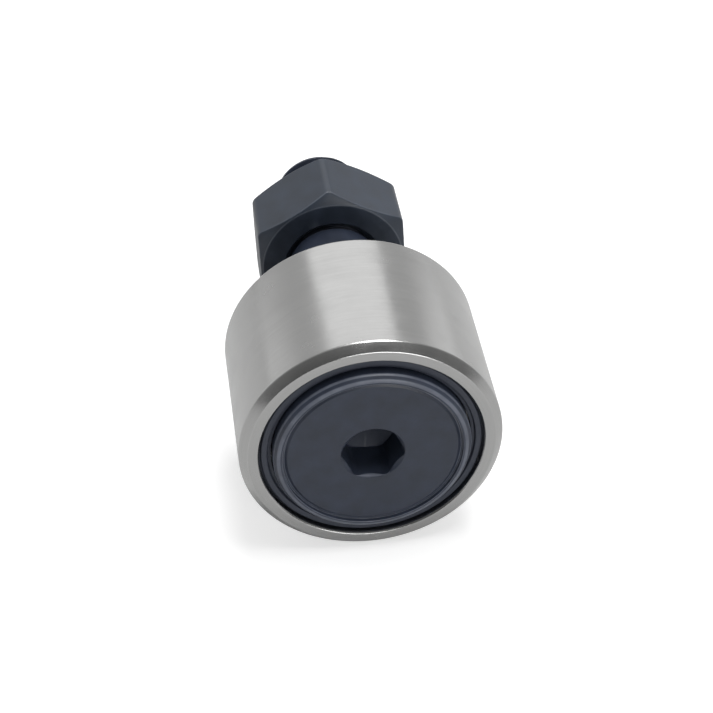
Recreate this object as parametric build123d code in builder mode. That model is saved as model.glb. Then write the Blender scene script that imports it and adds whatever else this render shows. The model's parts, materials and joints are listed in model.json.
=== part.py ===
"""Cam follower: a stud-type needle track roller with a seal on each side and its hexagon nut.

The origin is on the axis at the middle of the roller. +Y runs along the stud from its head to
its thread, and +Z is up. Sizes are in millimetres.
"""

import os
from math import cos, pi, radians, sin, sqrt, tan

from build123d import *

# Roller: the outer ring that runs on the cam
roller_diameter = 16.0
roller_width = 11.0
roller_edge_chamfer = 0.5
seal_bore_diameter = 13.6
seal_bore_depth = 1.6
seal_bore_chamfer = 0.1

# Needle bearing between the stud and the roller
race_step = 0.6  # how far the stud's raceway stands above the washer's seat
needle_diameter = 1.5
needle_end_room = 0.6  # from each end of a needle to the roller's shoulder
needle_end_chamfer = 0.12
needle_count = 14
race_clearance = 0.01  # radial, at each end of a needle's diameter
cage_wall = 0.8
pocket_side_clearance = 0.03
pocket_end_clearance = 0.05
cage_rim = 0.45  # solid ring past each end of the pockets

# Stud: head, raceway, shank and thread in one piece
head_diameter = 12.0
head_stand_out = 0.4  # how far the head stands out of the roller's front face
head_edge_chamfer = 0.3
face_recess_diameter = 10.9
face_recess_depth = 0.15
roller_end_play = 0.1  # between the roller's shoulder and the head, and again at the washer
shank_diameter = 6.0
seat_to_stud_end = 16.2
thread_length = 8.8
thread_relief_width = 0.6
thread_relief_depth = 0.3
stud_end_chamfer = 0.25
socket_across_flats = 3.5
socket_corner_radius = 0.25
socket_depth = 2.6
socket_mouth_chamfer = 0.12
socket_turn = 4.2  # degrees from a corner level with the axis
socket_drill_angle = 118.0

# Thrust washer pressed on the stud behind the roller
washer_diameter = 12.0
washer_seat_step = 0.4  # how far the washer's seat stands above the shank
washer_stand_out = 0.6  # how far its bearing face stands out of the roller's back face
washer_edge_chamfer = 0.3
washer_bore_chamfer = 0.2

# Lip seals pressed into the roller's two end bores
seal_recess = 0.3  # below the roller's end face
seal_lip_clearance = 0.06
seal_lip_length = 0.5
seal_lip_reach = 0.35  # radial length of the lip
seal_edge_chamfer = 0.1

# Hexagon nut, chamfered on both faces
nut_across_flats = 9.8  # near the low limit of a nut of 10 mm
nut_corner_radius = 0.3
nut_height = 5.0
nut_bore_clearance = 0.05  # radial, over the thread's crests
nut_bore_chamfer = 0.3
nut_face_share = 0.97  # diameter of each face over the width across the flats
nut_chamfer_angle = 30.0
nut_turn = 2.2  # degrees from a corner straight up, seen from the head

# Hexagons
sides = 6
level_to_upright = 30.0  # degrees between a corner on the level and one straight up

# How near two sizes or places are to count as the same
same = 1e-6

# Sizes that follow from those above
washer_seat_diameter = shank_diameter + 2 * washer_seat_step
inner_race_diameter = washer_seat_diameter + 2 * race_step
needle_length = roller_width - 2 * (seal_bore_depth + needle_end_room)

# Places along the axis
roller_front = -roller_width / 2
roller_back = roller_width / 2
shoulder_front = roller_front + seal_bore_depth
shoulder_back = roller_back - seal_bore_depth
head_face = roller_front - head_stand_out
head_back = shoulder_front - roller_end_play
washer_front = shoulder_back + roller_end_play
washer_back = roller_back + washer_stand_out
stud_end = washer_back + seat_to_stud_end
thread_start = stud_end - thread_length
nut_front = thread_start

# Radii
inner_race_radius = inner_race_diameter / 2
pitch_radius = inner_race_radius + race_clearance + needle_diameter / 2
outer_race_radius = pitch_radius + needle_diameter / 2 + race_clearance
cage_length = needle_length + 2 * (pocket_end_clearance + cage_rim)
nut_bore_radius = shank_diameter / 2 + nut_bore_clearance


def across(y):
    """The plane square to the axis at y, facing +Y, with its own x along +X."""
    return Plane(origin=(0, y, 0), x_dir=(1, 0, 0), z_dir=(0, 1, 0))


def circles_of(part, diameter):
    """The circular edges of one diameter."""
    edges = part.edges().filter_by(GeomType.CIRCLE)
    return edges.filter_by(lambda edge: abs(2 * edge.radius - diameter) < same)


def rim(part, diameter, y):
    """The circular edge of one diameter at y."""
    return circles_of(part, diameter).filter_by_position(Axis.Y, y - same, y + same)


def save(part, name):
    part.label = name
    export_step(part, f"parts/{name}.step")


def make_outer_ring():
    with BuildPart() as outer_ring:
        with BuildSketch(across(roller_front)):
            Circle(roller_diameter / 2)
            Circle(outer_race_radius, mode=Mode.SUBTRACT)
        extrude(amount=roller_width)
        with BuildSketch(across(roller_front), across(shoulder_back)):
            Circle(seal_bore_diameter / 2)
        extrude(amount=seal_bore_depth, mode=Mode.SUBTRACT)
        chamfer(circles_of(outer_ring, roller_diameter), roller_edge_chamfer)
        for face in (roller_front, roller_back):
            chamfer(rim(outer_ring, seal_bore_diameter, face), seal_bore_chamfer)
    save(outer_ring.part, "outer_ring")


def make_stud():
    with BuildPart() as stud:
        with BuildSketch(Plane.XY):
            with BuildLine():
                Polyline(
                    (0, head_face),
                    (head_diameter / 2, head_face),
                    (head_diameter / 2, head_back),
                    (inner_race_radius, head_back),
                    (inner_race_radius, washer_front),
                    (washer_seat_diameter / 2, washer_front),
                    (washer_seat_diameter / 2, washer_back - washer_bore_chamfer),
                    (shank_diameter / 2, washer_back - washer_bore_chamfer),
                    (shank_diameter / 2, stud_end),
                    (0, stud_end),
                    close=True,
                )
            make_face()
        revolve(axis=Axis.Y)
        chamfer(rim(stud, head_diameter, head_face), head_edge_chamfer)
        chamfer(rim(stud, shank_diameter, stud_end), stud_end_chamfer)

        # relief where the thread runs out against the shank
        with BuildSketch(across(thread_start)):
            Circle(shank_diameter / 2)
            Circle(shank_diameter / 2 - thread_relief_depth, mode=Mode.SUBTRACT)
        extrude(amount=thread_relief_width, mode=Mode.SUBTRACT)

        with BuildSketch(across(head_face)):
            Circle(face_recess_diameter / 2)
        extrude(amount=face_recess_depth, mode=Mode.SUBTRACT)

        # hexagon socket over a drilled point
        socket_face = head_face + face_recess_depth
        drill_radius = socket_across_flats / 2
        drill_point = drill_radius / tan(radians(socket_drill_angle / 2))
        with BuildSketch(across(socket_face)):
            RegularPolygon(drill_radius, sides, major_radius=False, rotation=socket_turn)
            fillet(vertices(), socket_corner_radius)
        extrude(amount=socket_depth, mode=Mode.SUBTRACT)
        with BuildSketch(Plane.XY):
            with BuildLine():
                Polyline(
                    (0, socket_face + socket_depth),
                    (drill_radius, socket_face + socket_depth),
                    (0, socket_face + socket_depth + drill_point),
                    close=True,
                )
            make_face()
        revolve(axis=Axis.Y, mode=Mode.SUBTRACT)
        with BuildSketch(Plane.XY):
            with BuildLine():
                Polyline(
                    (0, socket_face),
                    (drill_radius + socket_mouth_chamfer, socket_face),
                    (drill_radius, socket_face + socket_mouth_chamfer),
                    (0, socket_face + socket_mouth_chamfer),
                    close=True,
                )
            make_face()
        revolve(axis=Axis.Y, mode=Mode.SUBTRACT)
    save(stud.part, "stud")


def make_thrust_washer():
    with BuildPart() as thrust_washer:
        with BuildSketch(across(washer_front)):
            Circle(washer_diameter / 2)
            Circle(washer_seat_diameter / 2, mode=Mode.SUBTRACT)
        extrude(amount=washer_back - washer_front)
        chamfer(rim(thrust_washer, washer_diameter, washer_back), washer_edge_chamfer)
        chamfer(rim(thrust_washer, washer_seat_diameter, washer_back), washer_bore_chamfer)
    save(thrust_washer.part, "thrust_washer")


def make_seal(name, side, sealed_diameter):
    """A seal whose lip runs on sealed_diameter. side is -1 at the roller's front and 1 at its back."""
    outside = roller_width / 2 - seal_recess
    inside = roller_width / 2 - seal_bore_depth
    lip_radius = sealed_diameter / 2 + seal_lip_clearance
    body_radius = lip_radius + seal_lip_reach
    bore_radius = seal_bore_diameter / 2
    corner = outside - seal_edge_chamfer
    with BuildPart() as seal:
        with BuildSketch(Plane.XY):
            with BuildLine():
                Polyline(
                    (bore_radius, side * inside),
                    (bore_radius, side * corner),
                    (bore_radius - seal_edge_chamfer, side * outside),
                    (body_radius, side * outside),
                    (lip_radius, side * corner),
                    (lip_radius, side * (corner - seal_lip_length / 2)),
                    (body_radius, side * (corner - seal_lip_length)),
                    (body_radius, side * inside),
                    close=True,
                )
            make_face()
        revolve(axis=Axis.Y)
    save(seal.part, name)


def make_needle_cage():
    with BuildPart(across(0)) as needle_cage:
        Cylinder(pitch_radius + cage_wall / 2, cage_length)
        Cylinder(pitch_radius - cage_wall / 2, cage_length, mode=Mode.SUBTRACT)
        with PolarLocations(pitch_radius, needle_count):
            Box(
                2 * cage_wall,
                needle_diameter + 2 * pocket_side_clearance,
                needle_length + 2 * pocket_end_clearance,
                mode=Mode.SUBTRACT,
            )
    save(needle_cage.part, "needle_cage")


def make_needle(number):
    turn = 2 * pi * number / needle_count
    centre = (pitch_radius * cos(turn), 0, pitch_radius * sin(turn))
    with BuildPart(Plane(origin=centre, x_dir=(1, 0, 0), z_dir=(0, 1, 0))) as needle:
        Cylinder(needle_diameter / 2, needle_length)
        chamfer(circles_of(needle, needle_diameter), needle_end_chamfer)
    save(needle.part, f"needle_{number + 1:02d}")


def make_hex_nut():
    corner_radius = nut_across_flats / sqrt(3)
    face_radius = nut_face_share * nut_across_flats / 2
    chamfer_height = (corner_radius - face_radius) * tan(radians(nut_chamfer_angle))
    nut_back = nut_front + nut_height
    with BuildPart() as hex_nut:
        with BuildSketch(across(nut_front)):
            RegularPolygon(
                nut_across_flats / 2,
                sides,
                major_radius=False,
                rotation=level_to_upright - nut_turn,
            )
            fillet(vertices(), nut_corner_radius)
            Circle(nut_bore_radius, mode=Mode.SUBTRACT)
        extrude(amount=nut_height)
        for face in (nut_front, nut_back):
            chamfer(rim(hex_nut, 2 * nut_bore_radius, face), nut_bore_chamfer)
        with BuildSketch(Plane.XY):
            with BuildLine():
                Polyline(
                    (0, nut_front),
                    (face_radius, nut_front),
                    (corner_radius, nut_front + chamfer_height),
                    (corner_radius, nut_back - chamfer_height),
                    (face_radius, nut_back),
                    (0, nut_back),
                    close=True,
                )
            make_face()
        revolve(axis=Axis.Y, mode=Mode.INTERSECT)
    save(hex_nut.part, "hex_nut")


os.makedirs("parts", exist_ok=True)
make_outer_ring()
make_stud()
make_thrust_washer()
make_seal("front_seal", -1, head_diameter)
make_seal("rear_seal", 1, washer_diameter)
make_needle_cage()
for number in range(needle_count):
    make_needle(number)
make_hex_nut()
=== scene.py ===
"""Cam follower: its looks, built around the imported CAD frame.

Each operator makes one piece, or one group of like pieces, round the axis of the follower, which is
the frame's +Y axis. Shapes are drawn in millimetres and scaled to metres when they are done.
"""

import json
import math

import bmesh
import bpy
from bpy.props import FloatProperty, FloatVectorProperty, IntProperty, PointerProperty
from bpy.types import Operator, Panel, PropertyGroup
from mathutils import Matrix, Vector


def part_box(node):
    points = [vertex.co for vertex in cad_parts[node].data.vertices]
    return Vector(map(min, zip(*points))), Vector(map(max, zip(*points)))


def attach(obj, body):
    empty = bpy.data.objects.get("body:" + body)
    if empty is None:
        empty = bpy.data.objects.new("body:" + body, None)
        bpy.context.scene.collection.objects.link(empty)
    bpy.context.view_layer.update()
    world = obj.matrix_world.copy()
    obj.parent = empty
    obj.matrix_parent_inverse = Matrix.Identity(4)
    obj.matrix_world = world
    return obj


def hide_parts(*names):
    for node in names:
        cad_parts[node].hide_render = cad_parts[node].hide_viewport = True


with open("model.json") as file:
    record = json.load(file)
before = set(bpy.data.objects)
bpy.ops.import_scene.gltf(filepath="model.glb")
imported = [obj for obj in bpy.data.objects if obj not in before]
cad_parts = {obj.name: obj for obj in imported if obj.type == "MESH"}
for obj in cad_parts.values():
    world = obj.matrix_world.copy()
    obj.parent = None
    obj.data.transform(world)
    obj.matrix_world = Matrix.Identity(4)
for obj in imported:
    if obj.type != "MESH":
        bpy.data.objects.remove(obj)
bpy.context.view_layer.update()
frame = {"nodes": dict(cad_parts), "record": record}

bl_info = {
    "name": "Cam follower",
    "version": (1, 0, 0),
    "blender": (4, 5, 0),
    "location": "3D View > Sidebar > Cam follower",
    "description": "Builds a stud-type cam follower with its seals, needles and nut",
    "category": "Object",
}

MM = 0.001
AXIS = (0, 1, 0)
TURN = 2 * math.pi
MERGE = 1e-4  # vertices nearer than this, in mm, become one
CREASE = math.radians(32)  # faces that meet at more than this keep a sharp edge
HEX_SIDES = 6
ARC_SEGMENTS = 4  # in each rounded corner
WASHER_EDGE = 0.3  # chamfer outside, in mm
WASHER_BORE = 0.2  # chamfer inside, in mm
BORE_CLEARANCE = 0.05  # from the thread's crests to the nut's bore, in mm
THREAD_HALF_ANGLE = math.radians(30)
DRILL_HALF_ANGLE = math.radians(59)
NUT_CHAMFER_ANGLE = math.radians(30)


# ---------------------------------------------------------------- what the frame says, in mm

RECORD = frame["record"]
NODE_BODY = {
    node: body for body, nodes in RECORD["behaviour"]["bodies"].items() for node in nodes
}
NODE_SLOT = {part["node"]: part["material_slot"] for part in RECORD["subparts"]}
MOUNTS = {mount["name"]: mount for mount in RECORD["mounts"]}
NEEDLES = sorted(node for node, slot in NODE_SLOT.items() if slot == "needle_steel")


def span(node):
    """Where a node starts and ends along the axis."""
    low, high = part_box(node)
    return low.y / MM, high.y / MM


def half_width(node):
    """The outer radius of a round node."""
    low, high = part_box(node)
    return (high.x - low.x) / 2 / MM


TREAD_RADIUS = MOUNTS["tread"]["dims"]["r_mm"]
SHANK_RADIUS = MOUNTS["stud_shank"]["dims"]["r_mm"]
ROLLER_FRONT, ROLLER_BACK = span("outer_ring")
HEAD_FACE, STUD_END = span("stud")
HEAD_RADIUS = half_width("stud")
WASHER_FRONT, WASHER_BACK = span("thrust_washer")
WASHER_RADIUS = half_width("thrust_washer")
SEAL_RADIUS = half_width("rear_seal")
SHOULDER, SEAL_OUTSIDE = span("rear_seal")
NUT_FRONT, NUT_BACK = span("hex_nut")
NEEDLE_RADIUS = half_width(NEEDLES[0])
NEEDLE_END = span(NEEDLES[0])[1]


# ---------------------------------------------------------------- settings


class RollerSettings(PropertyGroup):
    """The roller: the ring of ground steel that runs on the cam."""

    edge_chamfer: FloatProperty(
        name="Edge chamfer", description="Chamfer at both ends of the tread, in mm", default=0.5
    )
    bore_chamfer: FloatProperty(
        name="Bore chamfer", description="Chamfer at the mouth of a seal bore, in mm", default=0.1
    )
    race_radius: FloatProperty(
        name="Race", description="Radius of the bore that the needles roll in, in mm", default=5.52
    )
    colour: FloatVectorProperty(
        name="Steel", description="Colour of the ground steel", subtype="COLOR",
        default=(0.47, 0.47, 0.465),
    )
    roughness: FloatProperty(
        name="Roughness", description="Mean roughness of the ground steel", default=0.23
    )


class StudSettings(PropertyGroup):
    """The stud, with its head, hexagon socket and thread."""

    head_chamfer: FloatProperty(
        name="Head chamfer", description="Chamfer of the head's edge, in mm", default=0.3
    )
    recess_radius: FloatProperty(
        name="Recess", description="Radius of the face sunk in the head, in mm", default=5.45
    )
    recess_depth: FloatProperty(
        name="Recess depth", description="Depth of the face sunk in the head, in mm", default=0.15
    )
    socket_flats: FloatProperty(
        name="Socket", description="Hexagon socket across its flats, in mm", default=3.5
    )
    socket_chamfer: FloatProperty(
        name="Socket chamfer", description="Chamfer at the socket's mouth, in mm", default=0.2
    )
    socket_depth: FloatProperty(
        name="Socket depth", description="Depth of the hexagon socket, in mm", default=2.6
    )
    socket_turn: FloatProperty(
        name="Socket turn", description="Turn of the socket's corners from level",
        subtype="ANGLE", default=math.radians(4.2),
    )
    race_radius: FloatProperty(
        name="Race", description="Radius that the needles roll on, in mm", default=4.0
    )
    seat_radius: FloatProperty(
        name="Washer seat", description="Radius that the washer is pressed on, in mm", default=3.4
    )
    relief_width: FloatProperty(
        name="Relief", description="Groove between shank and thread, in mm", default=0.6
    )
    end_chamfer: FloatProperty(
        name="End chamfer", description="Chamfer of the threaded end, in mm", default=0.1
    )
    pitch: FloatProperty(name="Pitch", description="Pitch of the thread, in mm", default=1.0)
    colour: FloatVectorProperty(
        name="Black oxide", description="Colour of the blackened stud and washer",
        subtype="COLOR", default=(0.022, 0.029, 0.048),
    )
    roughness: FloatProperty(
        name="Roughness", description="Mean roughness of the blackened stud", default=0.42
    )


class NutSettings(PropertyGroup):
    """The hexagon nut."""

    flats: FloatProperty(name="Flats", description="Size across the flats, in mm", default=9.8)
    corner_rounding: FloatProperty(
        name="Corners", description="Rounding of the six corners, in mm", default=0.3
    )
    face_radius: FloatProperty(
        name="Face", description="Radius of the flat face inside the chamfer, in mm", default=4.75
    )
    bore_chamfer: FloatProperty(
        name="Bore chamfer", description="Chamfer at both mouths of the bore, in mm", default=0.3
    )
    turn: FloatProperty(
        name="Turn", description="Turn of the top corner from upright", subtype="ANGLE",
        default=math.radians(2.2),
    )
    colour: FloatVectorProperty(
        name="Black oxide", description="Colour of the blackened nut", subtype="COLOR",
        default=(0.026, 0.035, 0.052),
    )
    roughness: FloatProperty(
        name="Roughness", description="Mean roughness of the blackened nut", default=0.40
    )


class SealSettings(PropertyGroup):
    """The two lip seals."""

    lip_gap: FloatProperty(
        name="Lip gap", description="Radial gap between a lip and what it seals, in mm",
        default=0.06,
    )
    lip_reach: FloatProperty(
        name="Lip reach", description="Radial length of a lip, in mm", default=0.35
    )
    colour: FloatVectorProperty(
        name="Rubber", description="Colour of the seal rubber", subtype="COLOR",
        default=(0.032, 0.038, 0.055),
    )


class BearingSettings(PropertyGroup):
    """The needles and their cage."""

    needle_colour: FloatVectorProperty(
        name="Needles", description="Colour of the polished needles", subtype="COLOR",
        default=(0.70, 0.70, 0.69),
    )
    cage_colour: FloatVectorProperty(
        name="Cage", description="Colour of the pressed steel cage", subtype="COLOR",
        default=(0.42, 0.41, 0.39),
    )


class StageSettings(PropertyGroup):
    """The floor, the lights and the camera."""

    azimuth: FloatProperty(
        name="Azimuth", description="The camera's turn from straight ahead", subtype="ANGLE",
        default=math.radians(-7.6466),
    )
    elevation: FloatProperty(
        name="Elevation", description="The camera's angle above level", subtype="ANGLE",
        default=math.radians(39.0695),
    )
    lens: FloatProperty(name="Lens", description="Focal length, in mm", default=94.228)
    place: FloatVectorProperty(
        name="Place", description="Where the camera stands", subtype="TRANSLATION", unit="LENGTH",
        default=(-0.011994, -0.087619, 0.074615),
    )
    floor: FloatVectorProperty(
        name="Floor", description="Colour of the floor", subtype="COLOR",
        default=(0.6, 0.6, 0.6),
    )


class FollowerSettings(PropertyGroup):
    """All settings of the cam follower."""

    facets: IntProperty(
        name="Facets", description="Facets round a whole turn, a multiple of 12", default=252
    )
    roller: PointerProperty(type=RollerSettings)
    stud: PointerProperty(type=StudSettings)
    nut: PointerProperty(type=NutSettings)
    seal: PointerProperty(type=SealSettings)
    bearing: PointerProperty(type=BearingSettings)
    stage: PointerProperty(type=StageSettings)


# ---------------------------------------------------------------- mesh work, in mm


def start_piece():
    """An empty bmesh with a mask that is 1 on rounded edges, where wear and a painted highlight are
    put.
    """
    bm = bmesh.new()
    bm.verts.layers.float.new("edge")
    return bm


def is_vert(item):
    return isinstance(item, bmesh.types.BMVert)


def radius_of(vert):
    """How far a vertex is from the axis."""
    return math.hypot(vert.co.x, vert.co.z)


def both_ends(corners):
    """A section that is the same at both ends, from the corners of one end."""
    return corners + [(radius, -y, rounding) for radius, y, rounding in reversed(corners)]


def drawn_edges(bm):
    """The edges that are drawn but not yet spun or extruded."""
    return [edge for edge in bm.edges if edge.is_wire]


def draw_profile(bm, corners, closed=False, segments=ARC_SEGMENTS):
    """Draws a half section through (radius, y, rounding) corners.

    Returns its vertices and edges.
    """
    edge = bm.verts.layers.float["edge"]
    verts = [bm.verts.new((radius, y, 0)) for radius, y, _ in corners]
    for pair in zip(verts, verts[1:] + verts[:1] if closed else verts[1:]):
        bm.edges.new(pair)
    for vert, (_, _, rounding) in zip(verts, corners):
        if not rounding:
            continue
        arc = bmesh.ops.bevel(
            bm, geom=[vert], offset=rounding, offset_type="OFFSET", segments=segments,
            profile=0.5, affect="VERTICES", material=-1,
        )["verts"]
        for new in arc:
            new[edge] = float(all(link.other_vert(new) in arc for link in new.link_edges))
    edges = drawn_edges(bm)
    return list({vert for drawn in edges for vert in drawn.verts}) + edges


def spin_profile(bm, geometry, facets):
    """Turns a half section once round the axis."""
    bmesh.ops.spin(
        bm, geom=geometry, cent=(0, 0, 0), axis=AXIS, dvec=(0, 0, 0), angle=TURN, steps=facets,
        use_merge=True, use_normal_flip=False, use_duplicate=False,
    )
    bmesh.ops.remove_doubles(bm, verts=bm.verts, dist=MERGE)


def open_loop(bm, y):
    """The edges at y that lack a face on one side."""
    return [
        edge for edge in bm.edges
        if edge.is_boundary and all(abs(vert.co.y - y) < MERGE for vert in edge.verts)
    ]


def fill_flat(bm, y):
    """Fills the flat ring between the two loops that are open at y."""
    bmesh.ops.triangle_fill(
        bm, use_beauty=True, use_dissolve=False, edges=open_loop(bm, y), normal=AXIS
    )


def draw_hexagon(bm, flats, corner_rounding, turn, facets):
    """A closed hexagon on the plane y = 0, with rounded corners. Returns its edges.

    A corner points straight up before the turn.
    """
    upright = Matrix.Rotation(turn, 4, AXIS) @ Matrix.Rotation(math.pi / 2, 4, (1, 0, 0))
    corners = bmesh.ops.create_circle(
        bm, cap_ends=False, segments=HEX_SIDES, radius=flats / math.sqrt(3), matrix=upright
    )["verts"]
    bmesh.ops.bevel(
        bm, geom=corners, offset=corner_rounding, offset_type="OFFSET", segments=ARC_SEGMENTS,
        profile=0.5, affect="VERTICES", material=-1,
    )
    sides = [edge for edge in drawn_edges(bm) if edge.calc_length() > flats / 4]
    bmesh.ops.subdivide_edges(bm, edges=sides, cuts=facets // HEX_SIDES - ARC_SEGMENTS - 1)
    return drawn_edges(bm)


def place_loop(verts, place):
    """Puts each vertex at place(its radius) = (radius, y)."""
    for vert in verts:
        old_radius = radius_of(vert)
        radius, y = place(old_radius)
        vert.co = (vert.co.x * radius / old_radius, y, vert.co.z * radius / old_radius)


def carry_on(bm, loop, place):
    """Extrudes a loop of edges and places its new vertices. Returns the new loop."""
    made = bmesh.ops.extrude_edge_only(bm, edges=loop)["geom"]
    new = {item for item in made if is_vert(item)}
    place_loop(new, place)
    return [
        item for item in made
        if isinstance(item, bmesh.types.BMEdge) and all(vert in new for vert in item.verts)
    ]


def close_to_point(bm, loop, y):
    """Closes an open loop with a cone, or a flat disc, that ends on the axis at y."""
    carry_on(bm, loop, lambda radius: (MERGE / 4, y))
    bmesh.ops.remove_doubles(bm, verts=bm.verts, dist=MERGE)


def cut_thread(bm, crest, root, crest_flat, pitch, crest_at, start, end, limit):
    """The wall of a right-hand thread from start to end, in a bmesh that holds nothing else yet.

    A crest crosses the +X side at crest_at. limit(radius, y) is what a chamfer leaves of a radius.
    """
    rounding = 0.03
    flank_cuts = 4
    steps = 84  # in one turn
    spare_turns = 3  # cut away again past both ends
    flank = abs(crest - root) * math.tan(THREAD_HALF_ANGLE)
    crest_half = crest_flat / 2
    root_half = crest_half + flank
    turns = math.ceil((end - start) / pitch) + spare_turns
    first = crest_at + math.floor((start - crest_at) / pitch - 1) * pitch
    ridge = draw_profile(bm, [
        (root, first - pitch / 2, 0),
        (root, first - root_half, rounding),
        (crest, first - crest_half, rounding),
        (crest, first + crest_half, rounding),
        (root, first + root_half, rounding),
        (root, first + pitch / 2, 0),
    ], segments=2)
    flanks = [item for item in ridge if not is_vert(item) and item.calc_length() > flank]
    bmesh.ops.subdivide_edges(bm, edges=flanks, cuts=flank_cuts)
    bmesh.ops.spin(
        bm, geom=bm.verts[:] + bm.edges[:], cent=(0, 0, 0), axis=AXIS,
        dvec=(0, pitch / steps, 0), angle=TURN * turns, steps=steps * turns, use_merge=False,
        use_normal_flip=False, use_duplicate=False,
    )
    bmesh.ops.remove_doubles(bm, verts=bm.verts, dist=MERGE)
    for vert in bm.verts:
        place_loop([vert], lambda radius: (limit(radius, vert.co.y), vert.co.y))
    for y, side in ((start, -1), (end, 1)):
        bmesh.ops.bisect_plane(
            bm, geom=bm.verts[:] + bm.edges[:] + bm.faces[:], dist=MERGE / 10,
            plane_co=(0, y, 0), plane_no=(0, side, 0), clear_outer=True, clear_inner=False,
        )


def round_edges(bm, edges, offset):
    """Rounds edges and marks what is round."""
    edge = bm.verts.layers.float["edge"]
    bmesh.ops.recalc_face_normals(bm, faces=bm.faces)
    made = bmesh.ops.bevel(
        bm, geom=edges, offset=offset, offset_type="OFFSET", segments=ARC_SEGMENTS, profile=0.5,
        affect="EDGES", material=-1, clamp_overlap=True,
    )
    rounded = set(made["faces"])
    for vert in made["verts"]:
        vert[edge] = float(all(face in rounded for face in vert.link_faces))


def finish_piece(bm, name, node, material):
    """Makes a bmesh into a closed piece that rides on its node's body in that node's place."""
    bmesh.ops.remove_doubles(bm, verts=bm.verts, dist=MERGE)
    bmesh.ops.recalc_face_normals(bm, faces=bm.faces)
    gaps = [edge for edge in bm.edges if len(edge.link_faces) != 2]
    if gaps:
        spots = {tuple(round(c, 2) for c in edge.verts[0].co) for edge in gaps[:6]}
        raise ValueError(f"{name} isn't closed: {len(gaps)} edges, such as at {spots}")
    for face in bm.faces:
        face.smooth = True
    for edge in bm.edges:
        edge.smooth = edge.calc_face_angle(0.0) < CREASE
    bmesh.ops.scale(bm, vec=(MM, MM, MM), verts=bm.verts)
    mesh = bpy.data.meshes.new(name)
    bm.to_mesh(mesh)
    bm.free()
    mesh.materials.append(material)
    piece = bpy.data.objects.new(name, mesh)
    bpy.context.scene.collection.objects.link(piece)
    normals = piece.modifiers.new("Flat faces", "WEIGHTED_NORMAL")
    normals.keep_sharp = True
    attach(piece, NODE_BODY[node])
    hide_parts(node)
    return piece


# ---------------------------------------------------------------- materials


def put(tree, kind, inputs=None, **settings):
    """Adds a node. An input is a value, or the (node, output) that it is linked to."""
    node = tree.nodes.new(kind)
    for key, value in settings.items():
        setattr(node, key, value)
    for key, value in (inputs or {}).items():
        if isinstance(value, tuple) and isinstance(value[0], bpy.types.Node):
            tree.links.new(value[0].outputs[value[1]], node.inputs[key])
        else:
            node.inputs[key].default_value = value
    return node


def maths(tree, operation, first, second=0.0):
    """A Math node's output, as (node, output)."""
    return put(tree, "ShaderNodeMath", {0: first, 1: second}, operation=operation), 0


def remap(tree, value, low, high, from_low=0.0, from_high=1.0):
    """A value moved from one range to another, as (node, output)."""
    ranges = {"From Min": from_low, "From Max": from_high, "To Min": low, "To Max": high}
    return put(tree, "ShaderNodeMapRange", {"Value": value, **ranges}), "Result"


def blend(tree, factor, first, second):
    """A mix of two colours, as (node, output)."""
    node = put(tree, "ShaderNodeMix", {0: factor}, data_type="RGBA")
    for key, colour in ((6, first), (7, second)):
        if isinstance(colour, tuple) and isinstance(colour[0], bpy.types.Node):
            tree.links.new(colour[0].outputs[colour[1]], node.inputs[key])
        else:
            node.inputs[key].default_value = (*colour, 1)
    return node, 2


def new_group(name, inputs, outputs):
    """An empty shader node group with number sockets, and its input and output nodes."""
    tree = bpy.data.node_groups.new(name, "ShaderNodeTree")
    for label, default in inputs.items():
        socket = tree.interface.new_socket(
            name=label, in_out="INPUT", socket_type="NodeSocketFloat"
        )
        socket.default_value = default
    for label in outputs:
        tree.interface.new_socket(name=label, in_out="OUTPUT", socket_type="NodeSocketFloat")
    return tree, tree.nodes.new("NodeGroupInput"), tree.nodes.new("NodeGroupOutput")


def make_turned_lines():
    """The fine lines of a grinder or lathe: round a cylinder, and in rings on a flat face."""
    tree, given, result = new_group(
        "Turned lines", {"Lines per metre": 7000.0, "Breaks per metre": 260.0}, ["Height"]
    )
    place = put(tree, "ShaderNodeTexCoord")
    axes = put(tree, "ShaderNodeSeparateXYZ", {"Vector": (place, "Object")})
    x, y, z = (axes, "X"), (axes, "Y"), (axes, "Z")
    square = maths(tree, "ADD", maths(tree, "MULTIPLY", x, x), maths(tree, "MULTIPLY", z, z))
    across = maths(tree, "ADD", maths(tree, "SQRT", square), y)
    vector = put(tree, "ShaderNodeCombineXYZ", {
        "X": maths(tree, "MULTIPLY", across, (given, 0)),
        "Y": maths(tree, "MULTIPLY", x, (given, 1)),
        "Z": maths(tree, "MULTIPLY", z, (given, 1)),
    })
    noise = put(
        tree, "ShaderNodeTexNoise", {"Vector": (vector, 0), "Scale": 1.0, "Detail": 3.0}
    )
    tree.links.new(noise.outputs[0], result.inputs["Height"])
    return tree


def make_grain():
    """The fine grain and the slow mottling of a blackened or moulded surface."""
    tree, given, result = new_group(
        "Grain", {"Grains per metre": 9000.0, "Mottles per metre": 500.0}, ["Height", "Mottle"]
    )
    place = put(tree, "ShaderNodeTexCoord")
    for index, label, detail in ((0, "Height", 3.0), (1, "Mottle", 6.0)):
        noise = put(tree, "ShaderNodeTexNoise", {
            "Vector": (place, "Object"), "Scale": (given, index), "Detail": detail,
        })
        tree.links.new(noise.outputs[0], result.inputs[label])
    return tree


def make_edge_wear_and_highlight():
    """Where rounded edges are painted bright, for wear and as a painted highlight, broken up along
    their length.
    """
    tree, given, result = new_group("Edge wear", {"Amount": 0.5}, ["Mask"])
    edge = put(tree, "ShaderNodeAttribute", attribute_name="edge")
    place = put(tree, "ShaderNodeTexCoord")
    noise = put(tree, "ShaderNodeTexNoise", {
        "Vector": (place, "Object"), "Scale": 900.0, "Detail": 3.0,
    })
    patches = remap(tree, (noise, 0), 0.6, 1.0, 0.35, 0.65)
    mask = maths(tree, "MULTIPLY", (edge, "Fac"), patches)
    node, output = maths(tree, "MULTIPLY", mask, (given, 0))
    tree.links.new(node.outputs[output], result.inputs["Mask"])
    return tree


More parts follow.
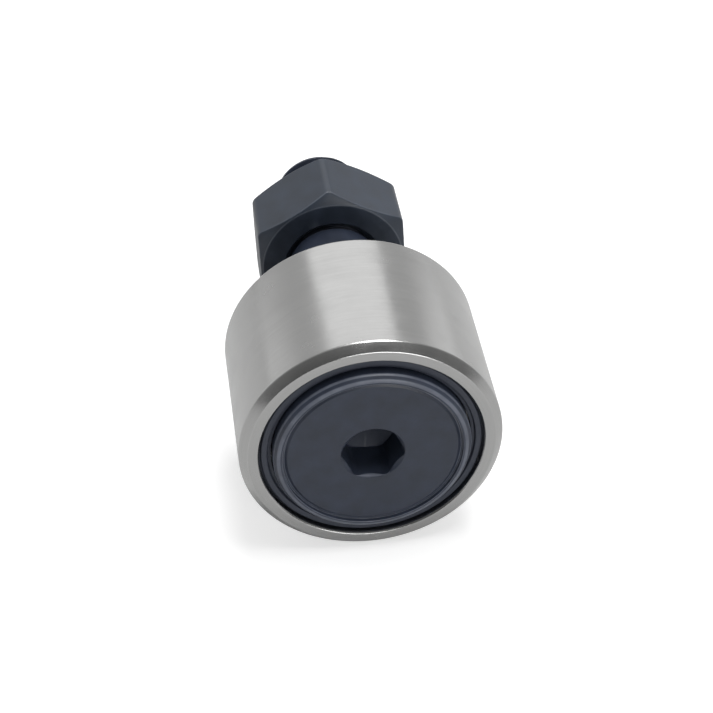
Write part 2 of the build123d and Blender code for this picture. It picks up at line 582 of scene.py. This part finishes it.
GROUPS = {
    "Turned lines": make_turned_lines, "Grain": make_grain, "Edge wear": make_edge_wear_and_highlight,
}


def use_group(tree, name, **inputs):
    """Places a shared group, which is made the first time."""
    group = bpy.data.node_groups.get(name) or GROUPS[name]()
    values = {key.replace("_", " ").capitalize(): value for key, value in inputs.items()}
    return put(tree, "ShaderNodeGroup", values, node_tree=group)


def new_material(name, **constants):
    """A material with one Principled shader, whose sockets take the constants."""
    material = bpy.data.materials.new(name)
    material.use_nodes = True
    tree = material.node_tree
    tree.nodes.clear()
    shader = tree.nodes.new("ShaderNodeBsdfPrincipled")
    output = tree.nodes.new("ShaderNodeOutputMaterial")
    tree.links.new(shader.outputs[0], output.inputs[0])
    for key, value in constants.items():
        shader.inputs[key.replace("_", " ")].default_value = value
    return material, tree, shader


def dress(tree, shader, colour, roughness, height, distance):
    """Links a surface's colour, roughness and relief. distance is the relief's depth in metres."""
    bump = put(tree, "ShaderNodeBump", {"Height": height, "Distance": distance, "Strength": 1.0})
    for key, (node, output) in (
        ("Base Color", colour), ("Roughness", roughness), ("Normal", (bump, "Normal"))
    ):
        tree.links.new(node.outputs[output], shader.inputs[key])


def machined_steel(name, colour, roughness, lines, relief):
    """Bare steel with the lines of its grinding or turning, and lighter rounded edges: wear and a
    painted highlight.
    """
    material, tree, shader = new_material(name, Metallic=1.0)
    turned = use_group(tree, "Turned lines", lines_per_metre=lines)
    grain = use_group(tree, "Grain", grains_per_metre=lines * 1.5)
    wear_and_highlight_mask = use_group(tree, "Edge wear", amount=0.4)
    dull = tuple(0.88 * channel for channel in colour)
    # Colour painted on rounded edges: wear, and a painted highlight.
    bright = tuple(min(1.0, 1.15 * channel) for channel in colour)
    lined = blend(tree, (turned, "Height"), dull, colour)
    tinted = blend(tree, (wear_and_highlight_mask, "Mask"), lined, bright)
    smooth = remap(tree, (grain, "Mottle"), roughness * 0.8, roughness * 1.2, 0.3, 0.7)
    dress(tree, shader, tinted, smooth, (turned, "Height"), relief)
    return material


def black_oxide(name, colour, roughness, wear_and_highlight_amount):
    """Blackened steel: satin, faintly mottled, greyer on its rounded edges, as wear and as a
    painted highlight.
    """
    material, tree, shader = new_material(name, Metallic=0.0, IOR=1.5)
    grain = use_group(tree, "Grain", grains_per_metre=7000.0, mottles_per_metre=700.0)
    wear_and_highlight_mask = use_group(tree, "Edge wear", amount=wear_and_highlight_amount)
    deep = tuple(0.78 * channel for channel in colour)
    light = tuple(1.22 * channel for channel in colour)
    # Colour painted on rounded edges: wear, and a painted highlight.
    wear_and_highlight = tuple(0.13 + 2.5 * channel for channel in colour)
    spread = remap(tree, (grain, "Mottle"), 0.0, 1.0, 0.3, 0.7)
    mottled = blend(tree, spread, deep, light)
    worn_and_lit = blend(tree, (wear_and_highlight_mask, "Mask"), mottled, wear_and_highlight)
    satin = remap(tree, (grain, "Mottle"), roughness * 0.88, roughness * 1.12, 0.3, 0.7)
    dress(tree, shader, worn_and_lit, satin, (grain, "Height"), 2.5e-6)
    return material


def moulded_rubber(name, colour):
    """Matt rubber with a fine moulded skin."""
    material, tree, shader = new_material(name, Metallic=0.0, IOR=1.5)
    grain = use_group(tree, "Grain", grains_per_metre=11000.0, mottles_per_metre=900.0)
    deep = tuple(0.85 * channel for channel in colour)
    light = tuple(1.2 * channel for channel in colour)
    skin = blend(tree, (grain, "Mottle"), deep, light)
    matt = remap(tree, (grain, "Mottle"), 0.5, 0.62)
    dress(tree, shader, skin, matt, (grain, "Height"), 3e-6)
    return material


# ---------------------------------------------------------------- operators


class FOLLOWER_OT_roller(Operator):
    """Make the roller, the ring of ground steel that runs on the cam"""

    bl_idname = "cam_follower.roller"
    bl_label = "Roller"

    def execute(self, context):
        settings = context.scene.cam_follower
        roller = settings.roller
        chamfer = roller.edge_chamfer
        mouth = roller.bore_chamfer
        bm = start_piece()
        section = draw_profile(bm, both_ends([
            (roller.race_radius, -SHOULDER, 0.08),
            (SEAL_RADIUS, -SHOULDER, 0),
            (SEAL_RADIUS, ROLLER_FRONT + mouth, 0.03),
            (SEAL_RADIUS + mouth, ROLLER_FRONT, 0.03),
            (TREAD_RADIUS - chamfer, ROLLER_FRONT, 0.05),
            (TREAD_RADIUS, ROLLER_FRONT + chamfer, 0.08),
        ]), closed=True)
        spin_profile(bm, section, settings.facets)
        steel = machined_steel("Ground_steel", roller.colour, roller.roughness, 7000.0, 9e-7)
        finish_piece(bm, "roller_ring", "outer_ring", steel)
        return {"FINISHED"}


class FOLLOWER_OT_seals(Operator):
    """Make the two lip seals in the roller's end bores"""

    bl_idname = "cam_follower.seals"
    bl_label = "Seals"

    def execute(self, context):
        settings = context.scene.cam_follower
        seal = settings.seal
        edge = 0.1
        slope = 1.5 * edge  # how far the groove and the lip reach under the seal's face
        lip_length = 0.5
        groove = 0.3
        corner = SEAL_OUTSIDE - edge
        rubber = moulded_rubber("Seal_rubber", seal.colour)
        for node, side, sealed in (
            ("front_seal", -1, HEAD_RADIUS), ("rear_seal", 1, WASHER_RADIUS)
        ):
            lip = sealed + seal.lip_gap
            body = lip + seal.lip_reach
            bm = start_piece()
            section = draw_profile(bm, [
                (SEAL_RADIUS, side * SHOULDER, 0.04),
                (SEAL_RADIUS, side * (SEAL_OUTSIDE - groove), 0.03),
                (SEAL_RADIUS - edge, side * (SEAL_OUTSIDE - groove), 0.03),
                (SEAL_RADIUS - slope, side * SEAL_OUTSIDE, 0.04),
                (body - edge, side * SEAL_OUTSIDE, 0.04),
                (body - slope, side * (corner - edge), 0.03),
                (lip, side * (corner - edge), 0.03),
                (lip, side * (corner - lip_length / 2), 0.03),
                (body, side * (corner - lip_length), 0.1),
                (body, side * SHOULDER, 0.04),
            ], closed=True)
            spin_profile(bm, section, settings.facets)
            finish_piece(bm, f"{node}_ring", node, rubber)
        return {"FINISHED"}


class FOLLOWER_OT_washer(Operator):
    """Make the thrust washer behind the roller"""

    bl_idname = "cam_follower.washer"
    bl_label = "Thrust washer"

    def execute(self, context):
        settings = context.scene.cam_follower
        stud = settings.stud
        bm = start_piece()
        section = draw_profile(bm, [
            (stud.seat_radius, WASHER_FRONT, 0.04),
            (WASHER_RADIUS, WASHER_FRONT, 0.04),
            (WASHER_RADIUS, WASHER_BACK - WASHER_EDGE, 0.06),
            (WASHER_RADIUS - WASHER_EDGE, WASHER_BACK, 0.06),
            (stud.seat_radius + WASHER_BORE, WASHER_BACK, 0.04),
            (stud.seat_radius, WASHER_BACK - WASHER_BORE, 0.03),
        ], closed=True)
        spin_profile(bm, section, settings.facets)
        black = black_oxide("Black_washer", stud.colour, stud.roughness, 0.6)
        finish_piece(bm, "thrust_washer_ring", "thrust_washer", black)
        return {"FINISHED"}


class FOLLOWER_OT_stud(Operator):
    """Make the stud in one piece: head, socket, raceway, shank and thread"""

    bl_idname = "cam_follower.stud"
    bl_label = "Stud"

    def thread(self, bm, stud, start):
        depth = 0.61 * stud.pitch
        crest_flat = stud.pitch / 8
        root = SHANK_RADIUS - depth

        def chamfered(radius, y):
            run_in = root + (y - start)
            run_out = SHANK_RADIUS - stud.end_chamfer + (STUD_END - y)
            return min(radius, run_in, run_out) if start < y < STUD_END else min(radius, root)

        cut_thread(
            bm, SHANK_RADIUS, root, crest_flat, stud.pitch, STUD_END + crest_flat, start,
            STUD_END, chamfered,
        )
        close_to_point(bm, open_loop(bm, STUD_END), STUD_END)
        return root

    def socket(self, bm, stud, face, facets):
        corner_rounding = 0.3
        worn_and_lit = 0.85  # how far down the mouth its chamfer is painted bright as a glint, over its radius
        turn = stud.socket_turn + TURN / 4
        loop = draw_hexagon(bm, stud.socket_flats, corner_rounding, turn, facets)
        mouth = stud.socket_flats / 2 + stud.socket_chamfer
        drill = stud.socket_flats / 2
        floor = face + stud.socket_depth
        point = floor + drill / math.tan(DRILL_HALF_ANGLE)
        place_loop(
            {vert for edge in loop for vert in edge.verts},
            lambda radius: (radius, face + max(0.0, mouth - radius)),
        )
        middle = carry_on(bm, loop, lambda radius: (
            (radius + max(radius, mouth)) / 2, face + max(0.0, mouth - radius) / 2
        ))
        carry_on(bm, middle, lambda radius: (max(radius, mouth), face))
        # Painted highlight: the lower side of the mouth's chamfer gets the edge mask, so it is
        # painted bright as a glint.
        wear_and_highlight = {vert for edge in middle for vert in edge.verts if vert.co.z < -worn_and_lit * mouth}
        for vert in wear_and_highlight:
            vert[bm.verts.layers.float["edge"]] = 1.0
        wall = carry_on(bm, loop, lambda radius: (radius, floor))
        ledge = carry_on(bm, wall, lambda radius: (min(radius, drill), floor))
        close_to_point(bm, ledge, point)

    def execute(self, context):
        settings = context.scene.cam_follower
        stud = settings.stud
        face = HEAD_FACE + stud.recess_depth
        edge = stud.head_chamfer
        groove = 0.12  # inside the head's rim
        groove_slope = 0.18
        washer_step = WASHER_BACK - WASHER_BORE
        relief_start = 0.1  # before the nut
        relief_wall = 0.15  # past the nut's face
        below_root = 0.04
        thread_start = NUT_FRONT + stud.relief_width
        bm = start_piece()
        root = self.thread(bm, stud, thread_start)
        section = draw_profile(bm, [
            (stud.recess_radius - groove - groove_slope, face, 0),
            (stud.recess_radius - groove, face + groove, 0.05),
            (stud.recess_radius, face + groove, 0.04),
            (stud.recess_radius, HEAD_FACE, 0.04),
            # These roundings cover most of the head's chamfer, so the edge mask paints it bright
            # all round: a painted highlight.
            (HEAD_RADIUS - edge, HEAD_FACE, 0.16),
            (HEAD_RADIUS, HEAD_FACE + edge, 0.12),
            (HEAD_RADIUS, -WASHER_FRONT, 0.05),
            (stud.race_radius, -WASHER_FRONT, 0.05),
            (stud.race_radius, WASHER_FRONT, 0.05),
            (stud.seat_radius, WASHER_FRONT, 0.05),
            (stud.seat_radius, washer_step, 0.05),
            (SHANK_RADIUS, washer_step, 0.05),
            (SHANK_RADIUS, NUT_FRONT - relief_start, 0.05),
            (root - below_root, NUT_FRONT + relief_wall, 0.1),
            (root - below_root, thread_start, 0),
        ])
        spin_profile(bm, section, settings.facets)
        self.socket(bm, stud, face, settings.facets)
        fill_flat(bm, thread_start)
        fill_flat(bm, face)
        black = black_oxide("Black_oxide", stud.colour, stud.roughness, 0.6)
        finish_piece(bm, "stud_body", "stud", black)
        return {"FINISHED"}


class FOLLOWER_OT_needles(Operator):
    """Make the needles, one for each that the frame has"""

    bl_idname = "cam_follower.needles"
    bl_label = "Needles"

    def execute(self, context):
        bearing = context.scene.cam_follower.bearing
        steel = machined_steel("Needle_steel", bearing.needle_colour, 0.16, 12000.0, 4e-7)
        end = 0.12
        facets = 48
        for node in NEEDLES:
            bm = start_piece()
            section = draw_profile(bm, both_ends([
                (0, -NEEDLE_END, 0),
                (NEEDLE_RADIUS - end, -NEEDLE_END, 0.06),
                (NEEDLE_RADIUS, end - NEEDLE_END, 0.06),
            ]))
            spin_profile(bm, section, facets)
            low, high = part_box(node)
            bmesh.ops.translate(bm, vec=(low + high) / 2 / MM, verts=bm.verts)
            finish_piece(bm, f"{node}_roller", node, steel)
        return {"FINISHED"}


class FOLLOWER_OT_cage(Operator):
    """Give the needle cage its steel"""

    bl_idname = "cam_follower.cage"
    bl_label = "Cage"

    def execute(self, context):
        bearing = context.scene.cam_follower.bearing
        steel = machined_steel("Cage_steel", bearing.cage_colour, 0.38, 3000.0, 3e-6)
        for slot in frame["nodes"]["needle_cage"].material_slots:
            slot.material = steel
        return {"FINISHED"}


class FOLLOWER_OT_nut(Operator):
    """Make the hexagon nut with its threaded bore"""

    bl_idname = "cam_follower.nut"
    bl_label = "Nut"

    def execute(self, context):
        settings = context.scene.cam_follower
        nut = settings.nut
        pitch = settings.stud.pitch
        slope = math.tan(NUT_CHAMFER_ANGLE)
        mouth = SHANK_RADIUS + BORE_CLEARANCE + nut.bore_chamfer
        crest = SHANK_RADIUS - 0.53 * pitch
        root = SHANK_RADIUS + 0.04
        edge_rounding = 0.07

        def countersunk(radius, y):
            depth = min(y - NUT_FRONT, NUT_BACK - y)
            return max(radius, mouth - max(depth, 0.0))

        bm = start_piece()
        cut_thread(
            bm, crest, root, pitch / 4, pitch, STUD_END + pitch * 5 / 8, NUT_FRONT, NUT_BACK,
            countersunk,
        )
        loop = draw_hexagon(bm, nut.flats, nut.corner_rounding, -nut.turn, settings.facets)
        place_loop(
            {vert for edge in loop for vert in edge.verts},
            lambda radius: (radius, NUT_FRONT + (radius - nut.face_radius) * slope),
        )
        back = carry_on(bm, loop, lambda radius: (
            radius, NUT_BACK - (radius - nut.face_radius) * slope
        ))
        edges = loop + back
        for rim, face in ((loop, NUT_FRONT), (back, NUT_BACK)):
            ring = carry_on(bm, rim, lambda radius: (nut.face_radius, face))
            carry_on(bm, ring, lambda radius: ((nut.face_radius + mouth) / 2, face))
            edges += ring
        # The rounded edges carry the edge mask and are painted lighter: wear, and a painted
        # highlight.
        round_edges(bm, edges, edge_rounding)
        fill_flat(bm, NUT_FRONT)
        fill_flat(bm, NUT_BACK)
        black = black_oxide("Black_nut", nut.colour, nut.roughness, 0.35)
        finish_piece(bm, "hexagon_nut", "hex_nut", black)
        return {"FINISHED"}


class FOLLOWER_OT_stage(Operator):
    """Set up the floor, the lights and the camera"""

    bl_idname = "cam_follower.stage"
    bl_label = "Stage"

    def floor(self, colour):
        """A pale floor under the roller, which glows a little so that its shadows stay soft."""
        reach = 3  # metres to each side
        bm = bmesh.new()
        bmesh.ops.create_grid(bm, x_segments=1, y_segments=1, size=reach)
        bmesh.ops.translate(bm, vec=(0, 0, -TREAD_RADIUS * MM), verts=bm.verts)
        mesh = bpy.data.meshes.new("floor")
        bm.to_mesh(mesh)
        bm.free()
        material, tree, shader = new_material(
            "Pale_floor", Roughness=0.8, Emission_Strength=0.57
        )
        grain = use_group(tree, "Grain", grains_per_metre=800.0, mottles_per_metre=40.0)
        shade = blend(tree, (grain, "Mottle"), tuple(0.985 * c for c in colour), colour)
        seen = put(tree, "ShaderNodeLightPath")
        glow = blend(tree, (seen, "Is Camera Ray"), (0.06, 0.06, 0.06), (1.0, 1.0, 1.0))
        for key, (node, output) in (("Base Color", shade), ("Emission Color", glow)):
            tree.links.new(node.outputs[output], shader.inputs[key])
        mesh.materials.append(material)
        floor = bpy.data.objects.new("floor", mesh)
        bpy.context.scene.collection.objects.link(floor)

    def light(self, name, place, size, power, aim=(0, 0, 0)):
        data = bpy.data.lights.new(name, "AREA")
        data.shape = "RECTANGLE"
        data.size, data.size_y = size
        data.energy = power
        lamp = bpy.data.objects.new(name, data)
        lamp.location = place
        away = Vector(place) - Vector(aim)
        lamp.rotation_euler = away.to_track_quat("Z", "Y").to_euler()
        bpy.context.scene.collection.objects.link(lamp)

    def sky(self):
        """Light grey behind, darker in front, and white where the camera sees it."""
        front, back = 0.12, 0.62
        reach = 0.7  # how far forward and back the grey changes
        world = bpy.data.worlds.new("Studio")
        bpy.context.scene.world = world
        world.use_nodes = True
        tree = world.node_tree
        tree.nodes.clear()
        place = put(tree, "ShaderNodeTexCoord")
        axes = put(tree, "ShaderNodeSeparateXYZ", {"Vector": (place, "Generated")})
        level = remap(tree, (axes, "Y"), front, back, -reach, reach)
        seen = put(tree, "ShaderNodeLightPath")
        strength = put(tree, "ShaderNodeMix", {
            "Factor": (seen, "Is Camera Ray"), 2: level, 3: 1.0,
        }, data_type="FLOAT")
        back = put(tree, "ShaderNodeBackground", {
            "Color": (1, 1, 1, 1), "Strength": (strength, 0)
        })
        put(tree, "ShaderNodeOutputWorld", {"Surface": (back, 0)})

    def camera(self, stage):
        data = bpy.data.cameras.new("camera")
        data.lens = stage.lens
        data.sensor_width = 36
        data.clip_start = 0.005
        camera = bpy.data.objects.new("camera", data)
        camera.location = stage.place
        camera.rotation_euler = (math.pi / 2 - stage.elevation, 0, stage.azimuth)
        bpy.context.scene.collection.objects.link(camera)
        bpy.context.scene.camera = camera

    def execute(self, context):
        stage = context.scene.cam_follower.stage
        self.floor(stage.floor)
        self.light("overhead", (0.08, 0.02, 0.5), (0.4, 0.2), 2.1)
        self.light("front", (0.15, -0.5, 0.16), (0.4, 0.16), 1.1)
        self.light("back_middle", (0.01, 0.4, 0.29), (0.34, 0.2), 0.17)
        self.light("back_left", (-0.4, 0.35, 0.1), (0.2, 0.3), 0.07)
        self.light("back_right", (0.4, 0.35, 0.1), (0.2, 0.3), 0.1)
        self.sky()
        self.camera(stage)
        context.scene.view_settings.view_transform = "Standard"
        return {"FINISHED"}


OPERATORS = (
    FOLLOWER_OT_roller, FOLLOWER_OT_seals, FOLLOWER_OT_washer, FOLLOWER_OT_stud,
    FOLLOWER_OT_needles, FOLLOWER_OT_cage, FOLLOWER_OT_nut, FOLLOWER_OT_stage,
)


class FOLLOWER_PT_panel(Panel):
    """Lists the follower's settings and operators"""

    bl_idname = "FOLLOWER_PT_panel"
    bl_label = "Cam follower"
    bl_space_type = "VIEW_3D"
    bl_region_type = "UI"
    bl_category = "Cam follower"

    def draw(self, context):
        settings = context.scene.cam_follower
        layout = self.layout
        layout.prop(settings, "facets")
        for part in ("roller", "stud", "nut", "seal", "bearing", "stage"):
            box = layout.box()
            group = getattr(settings, part)
            box.label(text=part.capitalize())
            for name in group.__annotations__:
                box.prop(group, name)
        for operator in OPERATORS:
            layout.operator(operator.bl_idname)


CLASSES = (
    RollerSettings, StudSettings, NutSettings, SealSettings, BearingSettings, StageSettings,
    FollowerSettings, *OPERATORS, FOLLOWER_PT_panel,
)


def register():
    for cls in CLASSES:
        bpy.utils.register_class(cls)
    bpy.types.Scene.cam_follower = PointerProperty(type=FollowerSettings)


def unregister():
    del bpy.types.Scene.cam_follower
    for cls in reversed(CLASSES):
        bpy.utils.unregister_class(cls)


def main():
    register()
    bpy.ops.cam_follower.roller()
    bpy.ops.cam_follower.seals()
    bpy.ops.cam_follower.washer()
    bpy.ops.cam_follower.stud()
    bpy.ops.cam_follower.needles()
    bpy.ops.cam_follower.cage()
    bpy.ops.cam_follower.nut()
    bpy.ops.cam_follower.stage()


if __name__ == "__main__":
    main()
